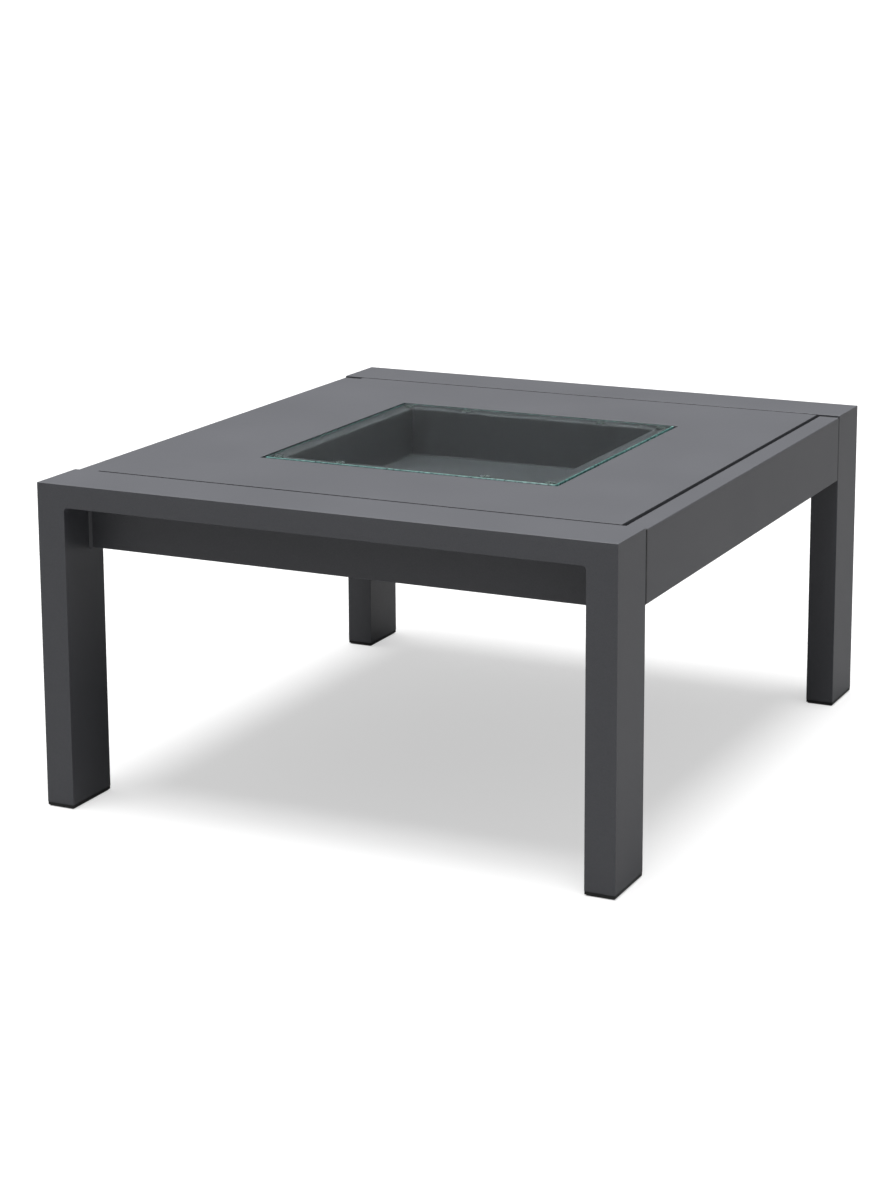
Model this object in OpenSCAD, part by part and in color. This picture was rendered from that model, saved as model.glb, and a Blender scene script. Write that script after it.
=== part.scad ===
// Low square-well garden table: two welded end frames, two side rails, a sheet top panel and a
// recessed well under a lift-out glass lid. Millimetres, +Z up, +Y from the front end frame to the
// rear one. The origin is on the ground under the middle of the table.

/* [Table] */
// Width over the end frames, along X
table_w = 760; // [600:5:1000]
// Depth over both end frames, along Y
table_d = 890; // [700:2:1200]
// Height from the ground to the top of the end frames
table_h = 412; // [350:5:600]

/* [End frames] */
// Width of a leg, seen from the front
leg_w = 38; // [30:1:60]
// Depth of a leg and of the top rail above it
leg_d = 84; // [60:1:120]
// Height of the end frame's top rail
top_rail_h = 29; // [20:1:40]
// Wall of every aluminium tube
tube_wall = 2; // [1.5:0.5:4]
// Radius of a tube's long outer edges
tube_r = 1.5; // [0.5:0.5:3]
// Depth of the apron under the top rail
apron_d = 28; // [20:1:40]
// Size of the weld in the corner under the top rail
corner_weld = 5; // [2:0.5:8]

/* [Side rails] */
// Height of a side rail
side_h = 88; // [70:1:120]
// Thickness of a side rail
side_w = 28; // [20:1:40]
// Drop of the side rails below the end frames and the top panel
side_drop = 2; // [0:0.5:5]
// Gap between a side rail and a leg, partly filled by the rail's end cap
side_gap = 4; // [3.5:0.5:6]

/* [Top panel and glass] */
// Groove between the top panel and the side rails
side_groove = 3; // [1:0.5:6]
// Groove between the top panel and the end frames
end_groove = 4.5; // [1:0.5:6]
// Sheet thickness of the top panel
sheet = 2; // [1.5:0.5:3]
// Height of the panel's folded skirt
skirt_h = 24; // [15:1:40]
// Side of the square opening for the glass
opening = 410; // [300:5:500]
// Gap round the glass
glass_gap = 4.5; // [1:0.5:6]
// Thickness of the glass
glass_t = 6; // [5:1:10]
// Height of the glass's top above the panel
glass_proud = 0.5; // [0:0.5:3]

/* [Well] */
// Width of the ledge that carries the glass
ledge = 25; // [18:1:30]
// Depth of the well's floor below the panel
well_depth = 72; // [40:1:75]
// Sheet thickness of the well
well_sheet = 1.5; // [1:0.5:2]

/* [Feet] */
// Thickness of a foot cap under the leg
foot_t = 5; // [3:1:10]
// Depth of a foot cap's plug inside the leg
foot_plug = 22; // [15:1:40]

/* [Hidden] */
$fn = 48;

paint = "#46494d";
graphite = "#3b3e42";
black = "#151617";
zinc = "#b9bcbf";
eps = 0.01;

// End caps of the side rails
cap_flange = 3;
cap_plug = 10;

// Levels and edges
half_w = table_w / 2;
half_d = table_d / 2;
frame_in_y = half_d - leg_d;
rail_under = table_h - top_rail_h;
side_top = table_h - side_drop;
side_bottom = side_top - side_h;
side_in_x = half_w - side_w;
panel_top = table_h;
panel_x = side_in_x - side_groove;
panel_y = frame_in_y - end_groove;
apron_h = rail_under - side_bottom;

// Well and glass
glass_side = opening - 2 * glass_gap;
glass_top = panel_top + glass_proud;
bumper_t = 1.2;
bumper_r = 6.5;
bumper_x = 100;
ledge_top = glass_top - glass_t - bumper_t;
well_in = opening - 2 * ledge;
well_floor = panel_top - well_depth;
well_lip = opening / 2;
well_flange = well_lip + 15;

// Cross bars and their fixings
bar_h = 25;
bar_w = 30;
bar_wall = 2;
bar_top = panel_top - sheet;
bar_y = opening / 2 + 50;
clip_t = 3;
clip_w = 30;
clip_reach = 45;
clip_drop = 25;

// Weld studs under the panel
stud_r = 2;
stud_hole_r = 2.2;
bar_stud_xs = [-220, 0, 220];
well_stud = well_lip + 8;
well_stud_along = 130;
stud_past = 9;

// Corner brackets
bracket_t = 4;
bracket_leg = 55;
bracket_h = 50;
bracket_z = side_bottom + 6;
screw_r = 3;
screw_clear_r = 3.3;
nut_r = 4.5;
head_r = 5.5;
head_h = 3.3;
socket_r = 2;
screw_xs = [side_in_x - 20, side_in_x - 42];
screw_ys = [frame_in_y - 20, frame_in_y - 42];
screw_zs = [bracket_z + bracket_h / 2];
clip_screw_z = bar_top - bar_h - clip_drop / 2 - 1;

// Rounded rectangle with true arcs, from the origin to [w, h]
module rounded_rect(w, h, r) {
    translate([r, 0]) square([w - 2 * r, h]);
    translate([0, r]) square([w, h - 2 * r]);
    for (x = [r, w - r], y = [r, h - r])
        translate([x, y]) circle(r);
}

// Section of a rectangular tube, from the origin to [w, h]
module tube_section(w, h, wall = tube_wall) {
    difference() {
        rounded_rect(w, h, tube_r);
        translate([wall, wall]) square([w - 2 * wall, h - 2 * wall]);
    }
}

// Extrudes an outline drawn in X and Z along +Y, from y = 0
module extrude_y(length) {
    translate([0, length, 0]) rotate([90, 0, 0]) linear_extrude(length) children();
}

// Extrudes an outline drawn in Y and Z along +X, from x = 0
module extrude_x(length) {
    rotate([90, 0, 90]) linear_extrude(length) children();
}

// Puts a front-left piece at any corner: side is -1 for left, end is -1 for front
module at_corner(side, end) {
    mirror([side > 0 ? 1 : 0, 0, 0]) mirror([0, end > 0 ? 1 : 0, 0]) children();
}

module at_end(end) {
    mirror([0, end > 0 ? 1 : 0, 0]) children();
}

module at_side(side) {
    mirror([side > 0 ? 1 : 0, 0, 0]) children();
}

// Hex-socket button-head screw, head underside at z = 0, shank down
module button_screw(length) {
    difference() {
        union() {
            cylinder(r = head_r, h = head_h * 0.45);
            translate([0, 0, head_h * 0.45])
                cylinder(r1 = head_r, r2 = head_r * 0.55, h = head_h * 0.55);
            translate([0, 0, -length]) cylinder(r = screw_r, h = length);
        }
        translate([0, 0, head_h * 0.35]) cylinder(r = socket_r, h = head_h, $fn = 6);
    }
}

// ---- End frames ----

// Leg tube, cut on the diagonal that it shares with the top rail
module leg(side, end) {
    color(paint) at_corner(side, end)
        difference() {
            translate([-half_w, -half_d, foot_t])
                linear_extrude(table_h - foot_t) tube_section(leg_w, leg_d);
            translate([0, -half_d - 1, 0]) extrude_y(leg_d + 2)
                polygon([
                    [-half_w, table_h], [-half_w + leg_w, rail_under],
                    [-half_w + leg_w + 10, rail_under], [-half_w + leg_w + 10, table_h + 10],
                    [-half_w - 10, table_h + 10], [-half_w - 10, table_h + 7]
                ]);
        }
}

// Top rail tube, mitred at both ends to meet the legs
module top_rail(end) {
    color(paint) at_end(end)
        intersection() {
            translate([-half_w, -half_d, rail_under])
                extrude_x(table_w) tube_section(leg_d, top_rail_h);
            translate([0, -half_d - 1, 0]) extrude_y(leg_d + 2)
                polygon([
                    [-half_w, table_h], [-half_w + leg_w, rail_under],
                    [half_w - leg_w, rail_under], [half_w, table_h]
                ]);
        }
}

// Apron tube between the legs, flush with their inner faces, drilled for rivet nuts
module apron(end) {
    length = table_w - 2 * leg_w;
    color(paint) at_end(end)
        difference() {
            translate([-length / 2, -frame_in_y - apron_d, side_bottom])
                extrude_x(length) tube_section(apron_d, apron_h);
            for (x = screw_xs, s = [-1, 1], z = screw_zs)
                translate([s * x, -frame_in_y - tube_wall - 1, z])
                    rotate([-90, 0, 0]) cylinder(r = nut_r, h = tube_wall + 2);
        }
}

// Concave weld in the corner between a leg and the top rail, and beads beside the apron
module welds(end) {
    bead = 3;
    apron_front = -frame_in_y - apron_d;
    color(paint) at_end(end)
        for (side = [-1, 1]) at_side(side) {
            translate([-half_w + leg_w, -half_d + tube_r, rail_under])
                extrude_y(leg_d - apron_d - tube_r - bead)
                    difference() {
                        translate([0, -corner_weld]) square(corner_weld);
                        translate([corner_weld, -corner_weld]) circle(corner_weld);
                    }
            translate([-half_w + leg_w, apron_front - bead, side_bottom])
                linear_extrude(apron_h)
                    polygon([[0, 0], [bead, bead], [0, bead]]);
        }
}

// ---- Side rails ----

// Side rail tube between the two end frames
module side_rail(side) {
    length = 2 * (frame_in_y - side_gap);
    color(graphite) at_side(side)
        difference() {
            translate([-half_w, -length / 2, side_bottom])
                extrude_y(length) tube_section(side_w, side_h);
            for (y = screw_ys, s = [-1, 1], z = screw_zs)
                translate([-side_in_x - tube_wall - 1, s * y, z])
                    rotate([0, 90, 0]) cylinder(r = nut_r, h = tube_wall + 2);
            for (s = [-1, 1])
                translate([-side_in_x - tube_wall - 1, s * bar_y, clip_screw_z])
                    rotate([0, 90, 0]) cylinder(r = screw_r + 0.05, h = tube_wall + 2);
        }
}

// Caps on the four ends of the side rails: a flange over the tube's end and a hollow plug in it
module side_rail_end_caps() {
    fit = 0.3;
    wall = 2.5;
    in = tube_wall + fit;
    color(black)
        for (side = [-1, 1], end = [-1, 1]) at_corner(side, end)
            translate([-half_w, -frame_in_y + side_gap, side_bottom]) {
                translate([0, -cap_flange, 0])
                    extrude_y(cap_flange) rounded_rect(side_w, side_h, tube_r);
                difference() {
                    translate([in, -eps, in])
                        cube([side_w - 2 * in, cap_plug + eps, side_h - 2 * in]);
                    translate([in + wall, 0, in + wall])
                        cube([
                            side_w - 2 * in - 2 * wall, cap_plug + 1,
                            side_h - 2 * in - 2 * wall
                        ]);
                }
            }
}

// ---- Corner brackets ----

// Angle bracket in the corner between an apron and a side rail
module corner_brackets(side) {
    gap = 0.1;
    color(zinc)
        for (end = [-1, 1]) at_corner(side, end)
            difference() {
                translate([-side_in_x + gap, -frame_in_y + gap, bracket_z]) union() {
                    cube([bracket_leg, bracket_t, bracket_h]);
                    cube([bracket_t, bracket_leg, bracket_h]);
                }
                for (x = screw_xs, z = screw_zs)
                    translate([-x, -frame_in_y - 1, z])
                        rotate([-90, 0, 0]) cylinder(r = screw_clear_r, h = bracket_t + 3);
                for (y = screw_ys, z = screw_zs)
                    translate([-side_in_x - 1, -y, z])
                        rotate([0, 90, 0]) cylinder(r = screw_clear_r, h = bracket_t + 3);
            }
}

// Places its children at every bracket screw, with +Z pointing out of the tube's face
module at_bracket_screws() {
    for (side = [-1, 1], end = [-1, 1]) at_corner(side, end) {
        for (x = screw_xs, z = screw_zs)
            translate([-x, -frame_in_y, z]) rotate([-90, 0, 0]) children();
        for (y = screw_ys, z = screw_zs)
            translate([-side_in_x, -y, z]) rotate([0, 90, 0]) children();
    }
}

module bracket_screws() {
    color(zinc) at_bracket_screws()
        translate([0, 0, bracket_t + 0.15]) button_screw(14);
}

// Rivet nuts set in the tube walls, one behind every bracket screw
module rivet_nuts() {
    body = 11;
    color(zinc) at_bracket_screws()
        difference() {
            translate([0, 0, -body]) cylinder(r = nut_r - 0.05, h = body);
            translate([0, 0, -body - 1]) cylinder(r = screw_r + 0.05, h = body + 2);
        }
}

// ---- Cross bars ----

// Places its children at every stud that passes through a cross bar
module at_bar_studs() {
    for (x = bar_stud_xs, end = [-1, 1])
        translate([x, end * bar_y, 0]) children();
}

// Places its children at every stud that passes through the well's flange
module at_well_studs() {
    for (turn = [0:90:270], along = [-well_stud_along, well_stud_along])
        rotate(turn) translate([along, well_stud, 0]) children();
}

// Bar under the panel, resting on a clip at each end
module cross_bar(end) {
    length = 2 * (panel_x - sheet - 1);
    color(graphite) at_end(end)
        difference() {
            translate([-length / 2, -bar_y - bar_w / 2, bar_top - bar_h])
                extrude_x(length) tube_section(bar_w, bar_h, bar_wall);
            for (x = bar_stud_xs)
                translate([x, -bar_y, bar_top - bar_h - 1])
                    cylinder(r = stud_hole_r, h = bar_h + 2);
        }
}

// Angle clips screwed to the side rails, one under each end of a cross bar
module cross_bar_clips() {
    under = bar_top - bar_h;
    color(zinc)
        for (side = [-1, 1], end = [-1, 1]) at_corner(side, end)
            difference() {
                translate([-side_in_x, -bar_y - clip_w / 2, 0]) union() {
                    translate([0, 0, under - clip_drop]) cube([clip_t, clip_w, clip_drop]);
                    translate([0, 0, under - clip_t]) cube([clip_reach, clip_w, clip_t]);
                }
                translate([-side_in_x - 1, -bar_y, under - clip_drop / 2 - 1])
                    rotate([0, 90, 0]) cylinder(r = screw_clear_r, h = clip_t + 3);
            }
}

// Short screws that hold the clips, their tips in holes in the side rails
module clip_screws() {
    color(zinc)
        for (side = [-1, 1], end = [-1, 1]) at_corner(side, end)
            translate([-side_in_x + clip_t, -bar_y, clip_screw_z])
                rotate([0, 90, 0]) button_screw(clip_t + tube_wall + 4);
}

// ---- Top panel ----

// Folded sheet panel with a square opening and weld studs on its underside
module top_panel() {
    flat_w = 2 * panel_x;
    flat_d = 2 * panel_y;
    color(paint) {
        difference() {
            translate([-panel_x, -panel_y, panel_top - skirt_h])
                cube([flat_w, flat_d, skirt_h]);
            translate([-panel_x + sheet, -panel_y + sheet, panel_top - skirt_h - 1])
                cube([flat_w - 2 * sheet, flat_d - 2 * sheet, skirt_h - sheet + 1]);
            translate([-opening / 2, -opening / 2, panel_top - sheet - 1])
                cube([opening, opening, sheet + 2]);
        }
        at_bar_studs()
            translate([0, 0, bar_top - bar_h - stud_past])
                cylinder(r = stud_r, h = bar_h + stud_past);
        at_well_studs()
            translate([0, 0, bar_top - well_sheet - stud_past])
                cylinder(r = stud_r, h = well_sheet + stud_past);
    }
}

// Flange nut, its seat at z = 0 and its body below
module flange_nut() {
    difference() {
        union() {
            translate([0, 0, -1.2]) cylinder(r = 5, h = 1.2);
            translate([0, 0, -5]) cylinder(r = 4.05, h = 4, $fn = 6);
        }
        translate([0, 0, -6]) cylinder(r = stud_r + 0.05, h = 7);
    }
}

module panel_nuts() {
    color(zinc) at_bar_studs() translate([0, 0, bar_top - bar_h]) flange_nut();
}

module well_nuts() {
    color(zinc) at_well_studs() translate([0, 0, bar_top - well_sheet]) flange_nut();
}

// ---- Well and glass ----

// Square ring between two half-widths
module square_ring(inner, outer, z, h) {
    difference() {
        translate([-outer, -outer, z]) cube([2 * outer, 2 * outer, h]);
        translate([-inner, -inner, z - 1]) cube([2 * inner, 2 * inner, h + 2]);
    }
}

// Sheet box with a stepped rim: a ledge for the glass and a flange under the panel
module well() {
    half_in = well_in / 2;
    ledge_under = ledge_top - well_sheet;
    color(graphite)
        difference() {
            union() {
                square_ring(well_lip, well_flange, bar_top - well_sheet, well_sheet);
                square_ring(well_lip, well_lip + well_sheet, ledge_under, bar_top - ledge_under);
                square_ring(half_in, well_lip + well_sheet, ledge_under, well_sheet);
                square_ring(half_in, half_in + well_sheet, well_floor - well_sheet,
                    ledge_top - well_floor + well_sheet);
                translate([-half_in - eps, -half_in - eps, well_floor - well_sheet])
                    cube([well_in + 2 * eps, well_in + 2 * eps, well_sheet]);
            }
            at_well_studs()
                translate([0, 0, bar_top - 5]) cylinder(r = stud_hole_r, h = 8);
        }
}

// Toughened glass panel, its corners rounded
module glass_lid() {
    color([0.72, 0.88, 0.84, 0.45])
        translate([-glass_side / 2, -glass_side / 2, glass_top - glass_t])
            linear_extrude(glass_t) glass_outline();
}

module glass_outline() {
    r = 3;
    translate([r, 0]) square([glass_side - 2 * r, glass_side]);
    translate([0, r]) square([glass_side, glass_side - 2 * r]);
    for (x = [r, glass_side - r], y = [r, glass_side - r])
        translate([x, y]) circle(r);
}

// Clear pads along the front and rear of the ledge
module glass_bumpers() {
    at = well_in / 2 + bumper_r + 0.5;
    color([0.85, 0.87, 0.87, 0.6])
        for (x = [-at, -bumper_x, bumper_x, at], y = [-at, at])
            translate([x, y, ledge_top]) cylinder(r = bumper_r, h = bumper_t);
}

// ---- Feet ----

// Cap under a leg, with a hollow plug pressed up into the tube
module foot(side, end) {
    edge = 1.5;
    play = 0.3;
    in = tube_wall + play;
    color(black) at_corner(side, end)
        translate([-half_w, -half_d, 0]) {
            translate([0, 0, edge]) linear_extrude(foot_t - edge)
                rounded_rect(leg_w, leg_d, tube_r);
            translate([edge, edge, 0]) linear_extrude(edge)
                rounded_rect(leg_w - 2 * edge, leg_d - 2 * edge, tube_r);
            difference() {
                translate([in, in, foot_t - eps])
                    cube([leg_w - 2 * in, leg_d - 2 * in, foot_plug + eps]);
                translate([in + 3, in + 3, foot_t])
                    cube([leg_w - 2 * in - 6, leg_d - 2 * in - 6, foot_plug + 1]);
            }
        }
}

leg(-1, -1);  // front_left_leg
leg(1, -1);  // front_right_leg
leg(-1, 1);  // rear_left_leg
leg(1, 1);  // rear_right_leg
top_rail(-1);  // front_top_rail
top_rail(1);  // rear_top_rail
apron(-1);  // front_apron
apron(1);  // rear_apron
welds(-1);  // front_welds
welds(1);  // rear_welds
side_rail(-1);  // left_side_rail
side_rail(1);  // right_side_rail
side_rail_end_caps();
corner_brackets(-1);  // left_corner_brackets
corner_brackets(1);  // right_corner_brackets
bracket_screws();
rivet_nuts();
cross_bar(-1);  // front_cross_bar
cross_bar(1);  // rear_cross_bar
cross_bar_clips();
clip_screws();
top_panel();
panel_nuts();
well();
well_nuts();
glass_lid();
glass_bumpers();
foot(-1, -1);  // front_left_foot
foot(1, -1);  // front_right_foot
foot(-1, 1);  // rear_left_foot
foot(1, 1);  // rear_right_foot
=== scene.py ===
"""Looks of a low garden table with a glass-covered well. Metres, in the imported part's frame."""

import math

import bmesh
import bpy
from mathutils import Matrix, Vector

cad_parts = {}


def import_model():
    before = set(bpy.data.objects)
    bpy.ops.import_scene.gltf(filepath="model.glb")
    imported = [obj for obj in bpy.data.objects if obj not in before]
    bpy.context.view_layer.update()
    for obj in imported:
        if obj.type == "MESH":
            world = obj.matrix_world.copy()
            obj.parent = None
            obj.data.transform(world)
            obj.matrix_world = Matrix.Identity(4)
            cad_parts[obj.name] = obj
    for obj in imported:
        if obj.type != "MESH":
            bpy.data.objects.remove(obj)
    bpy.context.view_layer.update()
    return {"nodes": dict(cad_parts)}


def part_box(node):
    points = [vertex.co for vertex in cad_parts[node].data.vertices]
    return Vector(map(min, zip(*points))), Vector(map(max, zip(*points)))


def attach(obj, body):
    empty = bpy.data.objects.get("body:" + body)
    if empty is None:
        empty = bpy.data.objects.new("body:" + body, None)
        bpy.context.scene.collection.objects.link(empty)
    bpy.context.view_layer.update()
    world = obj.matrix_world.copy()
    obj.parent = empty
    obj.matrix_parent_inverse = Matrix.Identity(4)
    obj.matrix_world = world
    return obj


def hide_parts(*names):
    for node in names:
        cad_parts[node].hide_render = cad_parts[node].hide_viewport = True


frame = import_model()
NODES = frame["nodes"]
MM = 0.001

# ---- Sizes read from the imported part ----

LEG_LO, LEG_HI = map(Vector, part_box("front_left_leg"))
RAIL_LO, RAIL_HI = map(Vector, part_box("front_top_rail"))
APRON_LO, APRON_HI = map(Vector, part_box("front_apron"))
PANEL_HI = Vector(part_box("top_panel")[1])
WELL_LO, WELL_HI = map(Vector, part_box("well"))
GLASS_LO, GLASS_HI = map(Vector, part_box("glass_lid"))
PAD_LO = Vector(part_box("glass_bumpers")[0])
NUT_HI = Vector(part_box("panel_nuts")[1])
WELL_NUT_HI = Vector(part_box("well_nuts")[1])
BAR_LO = Vector(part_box("front_cross_bar")[0])

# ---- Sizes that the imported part's boxes don't give ----

EDGE_R = 0.5 * MM
INNER_CORNER_R = 5 * MM
SHEET = 2 * MM
WELL_SHEET = 1.5 * MM
SKIRT_H = 24 * MM
HALF_OPENING = 205 * MM
OPENING_CORNER_R = 0.8 * MM
OPENING_LIP = 0.25 * MM
PANEL_CORNER_R = 2 * MM
PANEL_BEND_OUT = 0.5 * MM
PANEL_BEND_IN = 0.3 * MM
PANEL_RUN_IN = 20 * MM
LEDGE = 25 * MM
WELL_CORNER_R = 2.5 * MM
WELL_FLOOR_RIM = 30 * MM
WELL_BENDS_BELOW = [4.0 * MM, 0.4 * MM, 1.6 * MM, 0.3 * MM]
WELL_BENDS_ABOVE = [1.0 * MM, 0.8 * MM, 1.9 * MM, 2.5 * MM]
BEAD_R = 3 * MM
BEAD_RIPPLE = 2.1 * MM
BEAD_ROOT = 0.8 * MM
BEAD_OVERRUN = 2 * MM
BEAD_SWELL = 0.09
BEAD_FLATTENING = 0.22
BEAD_STEPS = 6
BEAD_BLUNT_END = 0.15
STUD_R = 2 * MM
STUD_PAST = 9 * MM
STUD_SINK = 0.5 * MM
STUD_POINT = (0.6, 0.85, 0.6 * MM)
NUT_FLANGE_R = 5 * MM
WELL_STUD_ALONG = 130 * MM
THREAD_PITCH = 0.8 * MM
THREAD_LENGTH = 10 * MM
THREAD_ROOT = 0.82
ARRIS = 1.1 * MM
ARRIS_SLOPE = 0.7
GLASS_CORNER_R = 3 * MM
CORNER_STEPS = 7

# ---- Light and camera; angles in degrees ----

FLOOR_HALF = 40
FLOOR_DROP = 0.5 * MM
FLOOR_GREY = 0.30
FLOOR_GLOW = 0.54
FLOOR_BOUNCE = 0.22
ROOM_LIGHT = (0.04, 0.75)
ROOM_LIGHT_HEIGHTS = (0.25, 0.8)
OVERHEAD_SPREAD = 34
OVERHEAD_POWER = 6.8
OVERHEAD_TILT = (4, -1)
SOFTBOX_PLACE = (2.6, -1.5, 0.8)
SOFTBOX_TARGET = (0.4, -0.3, 0.25)
SOFTBOX_SIZE = (1.4, 1.0)
SOFTBOX_POWER = 1.6
CAMERA_PLACE = (1.4218, -3.0481, 1.0982)
CAMERA_AZIMUTH = 25.605
CAMERA_ELEVATION = 11.285
CAMERA_ROLL = 0.238
CAMERA_LENS = 79.03
CAMERA_SHIFT_Y = -0.1417


# ---- Mesh helpers ----

def object_from(mesh_maker, name, materials, smooth_angle=40):
    """Makes an object from a bmesh that mesh_maker fills, smooth but for its sharp edges."""
    bm = bmesh.new()
    mesh_maker(bm)
    bmesh.ops.recalc_face_normals(bm, faces=bm.faces)
    mesh = bpy.data.meshes.new(name)
    bm.to_mesh(mesh)
    bm.free()
    mesh.shade_smooth()
    mesh.set_sharp_from_angle(angle=math.radians(smooth_angle))
    obj = bpy.data.objects.new(name, mesh)
    bpy.context.collection.objects.link(obj)
    for material in materials:
        mesh.materials.append(material)
    return obj


def round_edges(obj, width, segments=3, angle=50):
    """Rounds an object's sharp edges and keeps its flat faces flat."""
    bevel = obj.modifiers.new("rounded_edges", "BEVEL")
    bevel.width = width
    bevel.segments = segments
    bevel.limit_method = "ANGLE"
    bevel.angle_limit = math.radians(angle)
    bevel.use_clamp_overlap = True
    flat_faces(obj)


def flat_faces(obj):
    """Keeps large faces shaded flat beside their rounded edges."""
    weights = obj.modifiers.new("flat_faces", "WEIGHTED_NORMAL")
    weights.keep_sharp = True
    weights.weight = 100


def add_piece(obj, body, slot, *replaced):
    """Hands a finished piece to the frame."""
    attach(obj, body)
    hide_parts(*replaced)


def prism_along_y(bm, outline, y_from, y_to):
    """A closed prism from an outline in X and Z."""
    near = [bm.verts.new((x, y_from, z)) for x, z in outline]
    far = [bm.verts.new((x, y_to, z)) for x, z in outline]
    bm.faces.new(near)
    bm.faces.new(reversed(far))
    for here, there in zip(range(len(outline)), [*range(1, len(outline)), 0]):
        bm.faces.new((near[here], near[there], far[there], far[here]))


def arc(centre, radius, from_deg, to_deg, steps=8):
    """Points of an arc in a plane."""
    angles = [math.radians(from_deg + (to_deg - from_deg) * k / steps) for k in range(steps + 1)]
    return [(centre[0] + radius * math.cos(a), centre[1] + radius * math.sin(a)) for a in angles]


def bent(corners, radii, steps=6):
    """Points along a polyline with its inner corners rounded, as a folded sheet's section."""
    points = [Vector(corners[0])]
    for before, corner, after, radius in zip(corners, corners[1:], corners[2:], radii):
        corner = Vector(corner)
        back = (Vector(before) - corner).normalized()
        on = (Vector(after) - corner).normalized()
        half = back.angle(on) / 2
        centre = corner + (back + on).normalized() * radius / math.sin(half)
        start = corner + back * radius / math.tan(half) - centre
        end = corner + on * radius / math.tan(half) - centre
        turn = start.angle(end)
        for step in range(steps + 1):
            part = step / steps
            points.append(
                centre
                + start * math.sin((1 - part) * turn) / math.sin(turn)
                + end * math.sin(part * turn) / math.sin(turn)
            )
    points.append(Vector(corners[-1]))
    return points


def rectangle_ring(half_x, half_y, radius, z):
    """A rounded rectangle round the table's axis; each corner has CORNER_STEPS points."""
    points = []
    for quarter, (sx, sy) in enumerate(((1, 1), (-1, 1), (-1, -1), (1, -1))):
        for x, y in arc(
            (sx * (half_x - radius), sy * (half_y - radius)),
            radius, 90 * quarter, 90 * quarter + 90, CORNER_STEPS - 1,
        ):
            points.append((x, y, z))
    return points


def bridge(bm, rings, closed):
    """Quads between rings of equal length; closed joins the last one to the first."""
    rows = [[bm.verts.new(p) for p in ring] for ring in rings]
    pairs = list(zip(rows, rows[1:]))
    if closed:
        pairs.append((rows[-1], rows[0]))
    faces = []
    for row, following in pairs:
        count = len(row)
        for k in range(count):
            after = (k + 1) % count
            faces.append(bm.faces.new((row[k], row[after], following[after], following[k])))
    return rows, faces


def lathe(bm, x, y, profile, sides=20):
    """A turned solid about a vertical axis; profile is (radius, z) from one end to the other."""
    rings = []
    for radius, z in profile:
        angles = [2 * math.pi * k / sides for k in range(sides)]
        rings.append([(x + radius * math.cos(a), y + radius * math.sin(a), z) for a in angles])
    rows, _ = bridge(bm, rings, closed=False)
    bm.faces.new(rows[0])
    bm.faces.new(reversed(rows[-1]))


# ---- Material helpers ----

def srgb(*channels):
    """Linear colour of 0-255 display values."""
    linear = []
    for channel in channels:
        c = channel / 255
        linear.append(c / 12.92 if c <= 0.04045 else ((c + 0.055) / 1.055) ** 2.4)
    return (*linear, 1.0)


def new_material(name):
    material = bpy.data.materials.new(name)
    material.use_nodes = True
    tree = material.node_tree
    shader = tree.nodes["Principled BSDF"]
    return material, tree, shader


def place_node(tree):
    return tree.nodes.new("ShaderNodeTexCoord").outputs["Object"]


def noise_node(tree, place, scale, detail=2.0, rough=0.5):
    node = tree.nodes.new("ShaderNodeTexNoise")
    node.inputs["Scale"].default_value = scale
    node.inputs["Detail"].default_value = detail
    node.inputs["Roughness"].default_value = rough
    tree.links.new(place, node.inputs["Vector"])
    return node.outputs["Fac"]


def mapped(tree, value, low, high, from_low=0.3, from_high=0.7):
    """Maps a value to the range low to high; the defaults suit a noise node's usual spread."""
    node = tree.nodes.new("ShaderNodeMapRange")
    node.inputs["From Min"].default_value = from_low
    node.inputs["From Max"].default_value = from_high
    node.inputs["To Min"].default_value = low
    node.inputs["To Max"].default_value = high
    tree.links.new(value, node.inputs["Value"])
    return node.outputs["Result"]


def blended(tree, factor, first, second):
    """A colour between two, by a factor of 0 to 1."""
    node = tree.nodes.new("ShaderNodeMix")
    node.data_type = "RGBA"
    node.inputs["A"].default_value = first
    node.inputs["B"].default_value = second
    tree.links.new(factor, node.inputs["Factor"])
    return node.outputs["Result"]


def bumped(tree, height, distance, strength=1.0, under=None):
    node = tree.nodes.new("ShaderNodeBump")
    node.inputs["Distance"].default_value = distance
    node.inputs["Strength"].default_value = strength
    tree.links.new(height, node.inputs["Height"])
    if under is not None:
        tree.links.new(under, node.inputs["Normal"])
    return node.outputs["Normal"]


def scaled(colour, factor):
    return (*(c * factor for c in colour[:3]), 1.0)


# ---- Materials ----

def powder_coat(name, colour):
    """Fine textured powder coat: uneven film, orange peel and a grain of about half a millimetre."""
    material, tree, shader = new_material(name)
    place = place_node(tree)
    film = noise_node(tree, place, 7, 3)
    peel = noise_node(tree, place, 320, 2)
    grain = noise_node(tree, place, 1500, 2, 0.6)
    tone = blended(tree, mapped(tree, film, 0, 1), scaled(colour, 0.975), scaled(colour, 1.025))
    speck = tree.nodes.new("ShaderNodeMix")
    speck.data_type = "RGBA"
    speck.blend_type = "MULTIPLY"
    speck.inputs["Factor"].default_value = 1.0
    tree.links.new(tone, speck.inputs["A"])
    tree.links.new(
        blended(tree, mapped(tree, grain, 0, 1), (0.86, 0.86, 0.86, 1), (1.14, 1.14, 1.14, 1)),
        speck.inputs["B"],
    )
    tree.links.new(speck.outputs["Result"], shader.inputs["Base Color"])
    tree.links.new(mapped(tree, film, 0.44, 0.47), shader.inputs["Roughness"])
    peeled = bumped(tree, peel, 0.10 * MM, 0.5)
    tree.links.new(bumped(tree, grain, 0.05 * MM, 0.6, peeled), shader.inputs["Normal"])
    shader.inputs["Specular IOR Level"].default_value = 0.5
    return material


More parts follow.
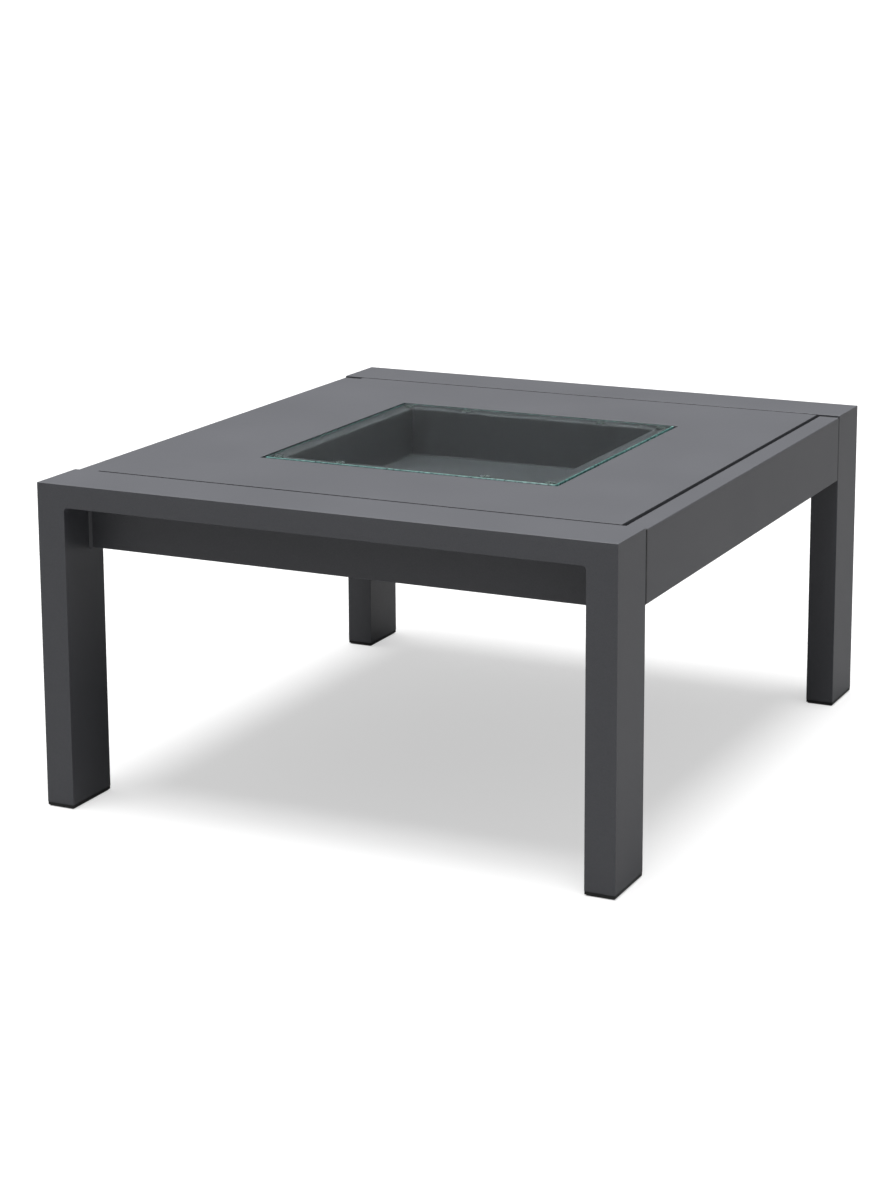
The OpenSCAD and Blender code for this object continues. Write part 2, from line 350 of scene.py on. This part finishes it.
def clear_glass():
    """Float glass with a green depth colour; lets light through to the well."""
    material, tree, shader = new_material("clear_glass")
    place = place_node(tree)
    shader.inputs["Transmission Weight"].default_value = 1.0
    shader.inputs["IOR"].default_value = 1.52
    smear = noise_node(tree, place, 9, 4)
    tree.links.new(mapped(tree, smear, 0.0, 0.008), shader.inputs["Roughness"])
    tree.links.new(
        blended(tree, mapped(tree, smear, 0, 1), (0.975, 0.99, 0.985, 1), (0.985, 0.995, 0.99, 1)),
        shader.inputs["Base Color"],
    )
    let_shadow_rays_through(tree, shader)
    depth_colour(tree)
    return material


def ground_edge_glass():
    """The ground edge of the glass: frosted and green, its surface chipped; lighter patches of its
    colour are painted glints.
    """
    material, tree, shader = new_material("ground_edge_glass")
    place = place_node(tree)
    chips_and_glints = noise_node(tree, place, 160, 3, 0.6)
    shader.inputs["Transmission Weight"].default_value = 0.5
    shader.inputs["IOR"].default_value = 1.52
    tree.links.new(mapped(tree, chips_and_glints, 0.22, 0.45), shader.inputs["Roughness"])
    # Lighter colour where the noise is high: painted glints on the ground edge, over its real frosted
    # green.
    tree.links.new(
        blended(
            tree, mapped(tree, chips_and_glints, 0, 1, 0.42, 0.66), (0.04, 0.14, 0.13, 1), (0.16, 0.40, 0.37, 1)
        ),
        shader.inputs["Base Color"],
    )
    tree.links.new(bumped(tree, chips_and_glints, 0.05 * MM, 0.3), shader.inputs["Normal"])
    return material


def let_shadow_rays_through(tree, shader):
    """Lets part of the light pass straight through the glass to what lies under it."""
    output = tree.nodes["Material Output"]
    clear = tree.nodes.new("ShaderNodeBsdfTransparent")
    clear.inputs["Color"].default_value = (0.46, 0.48, 0.48, 1)
    path = tree.nodes.new("ShaderNodeLightPath")
    mix = tree.nodes.new("ShaderNodeMixShader")
    tree.links.new(path.outputs["Is Shadow Ray"], mix.inputs["Fac"])
    tree.links.new(shader.outputs["BSDF"], mix.inputs[1])
    tree.links.new(clear.outputs["BSDF"], mix.inputs[2])
    tree.links.new(mix.outputs["Shader"], output.inputs["Surface"])


def depth_colour(tree):
    """Soda-lime glass takes out red first, so long ways through it look dark green."""
    absorb = tree.nodes.new("ShaderNodeVolumeAbsorption")
    absorb.inputs["Color"].default_value = (0.18, 0.80, 0.66, 1)
    absorb.inputs["Density"].default_value = 6.0
    tree.links.new(absorb.outputs["Volume"], tree.nodes["Material Output"].inputs["Volume"])


def plated_metal(name, colour, rough=(0.28, 0.42)):
    """Zinc or stainless steel: faint cloudy plating and fine turning marks."""
    material, tree, shader = new_material(name)
    place = place_node(tree)
    cloud = noise_node(tree, place, 60, 4)
    fine = noise_node(tree, place, 900, 2)
    shader.inputs["Metallic"].default_value = 1.0
    tree.links.new(
        blended(tree, mapped(tree, cloud, 0, 1), scaled(colour, 0.85), scaled(colour, 1.1)),
        shader.inputs["Base Color"],
    )
    tree.links.new(mapped(tree, cloud, *rough), shader.inputs["Roughness"])
    tree.links.new(bumped(tree, fine, 0.03 * MM, 0.5), shader.inputs["Normal"])
    return material


def moulded_plastic():
    """Matt black polyethylene with a fine mould grain and scuffs."""
    material, tree, shader = new_material("black_plastic")
    place = place_node(tree)
    grain = noise_node(tree, place, 1100, 2, 0.6)
    scuff = noise_node(tree, place, 45, 5, 0.65)
    tree.links.new(
        blended(tree, mapped(tree, scuff, 0, 1, 0.45, 0.75), srgb(15, 16, 17), srgb(30, 31, 32)),
        shader.inputs["Base Color"],
    )
    tree.links.new(mapped(tree, scuff, 0.42, 0.62), shader.inputs["Roughness"])
    tree.links.new(bumped(tree, grain, 0.06 * MM, 0.6), shader.inputs["Normal"])
    return material


def clear_silicone():
    """Soft clear pads between the glass and its ledge."""
    material, tree, shader = new_material("clear_silicone")
    place = place_node(tree)
    cloud = noise_node(tree, place, 300, 2)
    shader.inputs["Transmission Weight"].default_value = 0.85
    shader.inputs["IOR"].default_value = 1.41
    tree.links.new(
        blended(tree, mapped(tree, cloud, 0, 1), (0.55, 0.60, 0.59, 1), (0.66, 0.70, 0.69, 1)),
        shader.inputs["Base Color"],
    )
    tree.links.new(mapped(tree, cloud, 0.2, 0.35), shader.inputs["Roughness"])
    return material


GRAPHITE = srgb(71, 72, 76)
FRAME_COAT = powder_coat("frame_powder_coat", GRAPHITE)
RAIL_COAT = powder_coat("side_rail_powder_coat", GRAPHITE)
PANEL_COAT = powder_coat("panel_powder_coat", GRAPHITE)
WELL_COAT = powder_coat("well_powder_coat", GRAPHITE)
BAR_COAT = powder_coat("bar_powder_coat", scaled(GRAPHITE, 0.85))
GLASS = clear_glass()
GLASS_EDGE = ground_edge_glass()
ZINC_PLATE = plated_metal("zinc_plate", srgb(188, 190, 192))
ZINC_FIXINGS = plated_metal("zinc_fixings", srgb(200, 202, 204), (0.22, 0.36))
PLASTIC = moulded_plastic()
SILICONE = clear_silicone()


# ---- End frames ----

def end_frame_outline():
    """Inverted U with its inner corners filled by ground welds."""
    out_x, in_x = RAIL_HI.x, -LEG_HI.x
    foot_z, under, top = LEG_LO.z, RAIL_LO.z, RAIL_HI.z
    r = INNER_CORNER_R
    right = arc((in_x - r, under - r), r, 0, 90)
    left = arc((-in_x + r, under - r), r, 90, 180)
    return [
        (-out_x, foot_z), (-out_x, top), (out_x, top), (out_x, foot_z), (in_x, foot_z),
        *right, *left, (-in_x, foot_z),
    ]


def end_frame(name, end):
    """Two legs and a top rail, welded and ground smooth; end is -1 for the front one."""
    near, far = sorted((end * -RAIL_LO.y, end * -RAIL_HI.y))
    obj = object_from(
        lambda bm: prism_along_y(bm, end_frame_outline(), near, far), name + "_frame", [FRAME_COAT]
    )
    round_edges(obj, EDGE_R, 4)
    add_piece(
        obj, "table", "frame_powder_coat", name + "_left_leg", name + "_right_leg", name + "_top_rail"
    )


def weld_bead(bm, side, end):
    """A rippled bead up the corner between the apron's face and the leg."""
    corner_x = side * -LEG_HI.x
    corner_y = end * -APRON_LO.y
    z_from, z_to = APRON_LO.z - BEAD_OVERRUN, APRON_HI.z - INNER_CORNER_R / 2
    steps = int((z_to - z_from) / (BEAD_RIPPLE / BEAD_STEPS))
    rings = []
    for k in range(steps + 1):
        z = z_from + (z_to - z_from) * k / steps
        ends = min(
            1, (z - z_from) / BEAD_R + BEAD_BLUNT_END, (z_to - z) / BEAD_R + BEAD_BLUNT_END
        )
        ripple = 1 + BEAD_SWELL * abs(math.sin(math.pi * (z - z_from) / BEAD_RIPPLE))
        r = BEAD_R * math.sqrt(ends) * ripple
        fan = [math.radians(90 * j / BEAD_STEPS) for j in range(BEAD_STEPS + 1)]
        ring = [(corner_x + side * BEAD_ROOT, corner_y - end * BEAD_ROOT, z)]
        for a in fan:
            reach = r * (1 - BEAD_FLATTENING * math.sin(2 * a))
            ring.append((corner_x - side * reach * math.cos(a), corner_y + end * reach * math.sin(a), z))
        rings.append(ring)
    rows, _ = bridge(bm, rings, closed=False)
    bm.faces.new(rows[0])
    bm.faces.new(reversed(rows[-1]))


def weld_beads(name, end):
    def make(bm):
        for side in (-1, 1):
            weld_bead(bm, side, end)

    obj = object_from(make, name + "_weld_beads", [FRAME_COAT], 60)
    add_piece(obj, "table", "frame_powder_coat", name + "_welds")


# ---- Top panel and well ----

def stud_places():
    """Where the weld studs stand: (x, y, lowest z)."""
    bar_x = NUT_HI.x - NUT_FLANGE_R
    bar_y = NUT_HI.y - NUT_FLANGE_R
    tip = BAR_LO.z - STUD_PAST
    for x in (-bar_x, 0, bar_x):
        for y in (-bar_y, bar_y):
            yield x, y, tip
    out = WELL_NUT_HI.x - NUT_FLANGE_R
    tip = PANEL_HI.z - SHEET - WELL_SHEET - STUD_PAST
    for along in (-WELL_STUD_ALONG, WELL_STUD_ALONG):
        for side in (-1, 1):
            yield along, side * out, tip
            yield side * out, along, tip


def stud(bm, x, y, tip, root):
    """A threaded weld stud; the thread is rings over its lower part."""
    tip_part, shoulder_part, point_h = STUD_POINT
    profile = [(STUD_R * tip_part, tip), (STUD_R * shoulder_part, tip + point_h)]
    z = tip + THREAD_PITCH
    while z < tip + THREAD_LENGTH:
        profile += [(STUD_R * THREAD_ROOT, z), (STUD_R, z + THREAD_PITCH * 0.5)]
        z += THREAD_PITCH
    profile += [(STUD_R, z), (STUD_R, root)]
    lathe(bm, x, y, profile, 12)


def panel_rings():
    """The folded sheet's section, outwards along the top, down the skirt and back."""
    top, sheet_under = PANEL_HI.z, PANEL_HI.z - SHEET
    bottom = top - SKIRT_H
    lip = OPENING_LIP
    half_x, half_y = PANEL_HI.x, PANEL_HI.y
    outside = bent([(-PANEL_RUN_IN, top), (0, top), (0, bottom)], [PANEL_BEND_OUT])[1:]
    inside = bent(
        [(-SHEET, bottom), (-SHEET, sheet_under), (-PANEL_RUN_IN, sheet_under)], [PANEL_BEND_IN]
    )[:-1]
    rings = [
        rectangle_ring(HALF_OPENING, HALF_OPENING, OPENING_CORNER_R, sheet_under + lip),
        rectangle_ring(HALF_OPENING, HALF_OPENING, OPENING_CORNER_R, top - lip),
        rectangle_ring(HALF_OPENING + lip, HALF_OPENING + lip, OPENING_CORNER_R, top),
    ]
    rings += [rectangle_ring(half_x + d, half_y + d, PANEL_CORNER_R, z) for d, z in [*outside, *inside]]
    rings.append(rectangle_ring(HALF_OPENING + lip, HALF_OPENING + lip, OPENING_CORNER_R, sheet_under))
    return rings


def top_panel():
    def make(bm):
        bridge(bm, panel_rings(), closed=True)
        for x, y, tip in stud_places():
            stud(bm, x, y, tip, PANEL_HI.z - SHEET + STUD_SINK)

    obj = object_from(make, "top_panel_sheet", [PANEL_COAT])
    flat_faces(obj)
    add_piece(obj, "table", "panel_powder_coat", "top_panel")


def well_rings():
    """The well's section, from under its floor out to the flange, and back in over the ledge."""
    t = WELL_SHEET
    flange, top = WELL_HI.x, WELL_HI.z
    ledge_top, floor_top = PAD_LO.z, WELL_LO.z + t
    opening = HALF_OPENING
    inner = opening - LEDGE
    cap = inner - WELL_FLOOR_RIM
    back = bent(
        [(cap, floor_top - t), (inner + t, floor_top - t), (inner + t, ledge_top - t),
         (opening + t, ledge_top - t), (opening + t, top - t), (flange, top - t)],
        WELL_BENDS_BELOW,
    )
    seen = bent(
        [(flange, top), (opening, top), (opening, ledge_top), (inner, ledge_top),
         (inner, floor_top), (cap, floor_top)],
        WELL_BENDS_ABOVE,
    )
    return [rectangle_ring(h, h, WELL_CORNER_R, z) for h, z in [*back, *seen]]


def well():
    def make(bm):
        rows, _ = bridge(bm, well_rings(), closed=False)
        bm.faces.new(rows[0])
        bm.faces.new(reversed(rows[-1]))

    obj = object_from(make, "well_sheet", [WELL_COAT])
    flat_faces(obj)
    add_piece(obj, "table", "well_powder_coat", "well")


# ---- Glass ----

def glass_lid():
    """Toughened plate with seamed edges, its rim faces in their own material."""
    half = GLASS_HI.x
    low, high = GLASS_LO.z, GLASS_HI.z
    chamfer = ARRIS * ARRIS_SLOPE

    def make(bm):
        rings = [
            rectangle_ring(half - ARRIS, half - ARRIS, GLASS_CORNER_R, low),
            rectangle_ring(half, half, GLASS_CORNER_R, low + chamfer),
            rectangle_ring(half, half, GLASS_CORNER_R, high - chamfer),
            rectangle_ring(half - ARRIS, half - ARRIS, GLASS_CORNER_R, high),
        ]
        rows, faces = bridge(bm, rings, closed=False)
        for face in faces:
            face.material_index = 1
        bm.faces.new(rows[0])
        bm.faces.new(reversed(rows[-1]))

    obj = object_from(make, "glass_plate", [GLASS, GLASS_EDGE], 25)
    add_piece(obj, "lid", "clear_glass", "glass_lid")


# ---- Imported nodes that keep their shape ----

def dress(node, material, edge=0.0):
    """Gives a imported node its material, and rounds its sharp edges if edge is given."""
    obj = NODES[node]
    obj.data.materials.clear()
    obj.data.materials.append(material)
    if edge:
        round_edges(obj, edge, 2, 60)


def dress_nodes():
    """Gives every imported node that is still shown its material."""
    for node in ("front_apron", "rear_apron"):
        dress(node, FRAME_COAT)
    for node in ("left_side_rail", "right_side_rail"):
        dress(node, RAIL_COAT)
    for node in ("front_cross_bar", "rear_cross_bar"):
        dress(node, BAR_COAT)
    for node in ("left_corner_brackets", "right_corner_brackets", "cross_bar_clips"):
        dress(node, ZINC_PLATE, 0.6 * MM)
    for node in ("bracket_screws", "rivet_nuts", "clip_screws", "panel_nuts", "well_nuts"):
        dress(node, ZINC_FIXINGS)
    for end in ("front", "rear"):
        for side in ("left", "right"):
            dress(f"{end}_{side}_foot", PLASTIC, 0.7 * MM)
    # The caps' black plastic fills most of the gap between each side rail and its leg, and its black
    # stands in for the shade deep in that gap: painted shade.
    dress("side_rail_end_caps", PLASTIC, 0.3 * MM)
    dress("glass_bumpers", SILICONE, 0.3 * MM)


# ---- Stage ----

def floor():
    """A wide pale floor: paper white to the camera, a mild bounce for the light."""
    def make(bm):
        signs = ((-1, -1), (1, -1), (1, 1), (-1, 1))
        bm.faces.new([bm.verts.new((x * FLOOR_HALF, y * FLOOR_HALF, -FLOOR_DROP)) for x, y in signs])

    material, tree, shader = new_material("studio_floor")
    shader.inputs["Base Color"].default_value = (FLOOR_GREY, FLOOR_GREY, FLOOR_GREY, 1)
    shader.inputs["Roughness"].default_value = 0.9
    shader.inputs["Specular IOR Level"].default_value = 0.0
    shader.inputs["Emission Color"].default_value = (1, 1, 1, 1)
    shader.inputs["Emission Strength"].default_value = FLOOR_GLOW
    bounce = tree.nodes.new("ShaderNodeBsdfDiffuse")
    bounce.inputs["Color"].default_value = (FLOOR_BOUNCE, FLOOR_BOUNCE, FLOOR_BOUNCE, 1)
    show_camera(tree, shader.outputs["BSDF"], bounce.outputs["BSDF"], tree.nodes["Material Output"])
    obj = object_from(make, "studio_floor", [material])


def show_camera(tree, seen, felt, output):
    """The camera sees one shader, and every other ray meets the other."""
    path = tree.nodes.new("ShaderNodeLightPath")
    mix = tree.nodes.new("ShaderNodeMixShader")
    tree.links.new(path.outputs["Is Camera Ray"], mix.inputs["Fac"])
    tree.links.new(felt, mix.inputs[1])
    tree.links.new(seen, mix.inputs[2])
    tree.links.new(mix.outputs["Shader"], output.inputs["Surface"])


def world():
    """Dim surroundings that brighten upwards; the camera sees them as white."""
    scene_world = bpy.data.worlds.new("studio_world")
    scene_world.use_nodes = True
    tree = scene_world.node_tree
    background = tree.nodes["Background"]
    background.inputs["Color"].default_value = (1, 1, 1, 1)
    direction = tree.nodes.new("ShaderNodeTexCoord").outputs["Generated"]
    split = tree.nodes.new("ShaderNodeSeparateXYZ")
    tree.links.new(direction, split.inputs["Vector"])
    tree.links.new(
        mapped(tree, split.outputs["Z"], *ROOM_LIGHT, *ROOM_LIGHT_HEIGHTS), background.inputs["Strength"]
    )
    white = tree.nodes.new("ShaderNodeBackground")
    white.inputs["Strength"].default_value = 1.0
    show_camera(
        tree, white.outputs["Background"], background.outputs["Background"], tree.nodes["World Output"]
    )
    bpy.context.scene.world = scene_world


def overhead_light():
    """A very wide, soft source straight above."""
    data = bpy.data.lights.new("overhead_light", "SUN")
    data.angle = math.radians(OVERHEAD_SPREAD)
    data.energy = OVERHEAD_POWER
    obj = bpy.data.objects.new("overhead_light", data)
    obj.rotation_euler = (*(math.radians(a) for a in OVERHEAD_TILT), 0)
    bpy.context.collection.objects.link(obj)


def right_softbox():
    """A weak panel of light from the front right."""
    data = bpy.data.lights.new("right_softbox", "AREA")
    data.shape = "RECTANGLE"
    data.size, data.size_y = SOFTBOX_SIZE
    data.energy = SOFTBOX_POWER
    obj = bpy.data.objects.new("right_softbox", data)
    obj.location = SOFTBOX_PLACE
    obj.rotation_mode = "QUATERNION"
    obj.rotation_quaternion = (Vector(SOFTBOX_TARGET) - Vector(SOFTBOX_PLACE)).to_track_quat("-Z", "Y")
    bpy.context.collection.objects.link(obj)


def camera():
    """The long-lens view from the front, a little to the right and above."""
    azimuth, elevation, roll = map(math.radians, (CAMERA_AZIMUTH, CAMERA_ELEVATION, CAMERA_ROLL))
    data = bpy.data.cameras.new("camera")
    data.sensor_width = 36
    data.lens = CAMERA_LENS
    data.shift_y = CAMERA_SHIFT_Y
    obj = bpy.data.objects.new("camera", data)
    turn = Matrix.Rotation(azimuth, 4, "Z") @ Matrix.Rotation(math.pi / 2 - elevation, 4, "X")
    place = Matrix.Translation(CAMERA_PLACE)
    obj.matrix_world = place @ turn @ Matrix.Rotation(-roll, 4, "Z")
    bpy.context.collection.objects.link(obj)
    bpy.context.scene.camera = obj


def stage():
    """Floor, surroundings, lights and camera."""
    bpy.context.scene.view_settings.view_transform = "Standard"
    floor()
    world()
    overhead_light()
    right_softbox()
    camera()


for end_name, end_sign in (("front", -1), ("rear", 1)):
    end_frame(end_name, end_sign)
    weld_beads(end_name, end_sign)
top_panel()
well()
glass_lid()
dress_nodes()
stage()
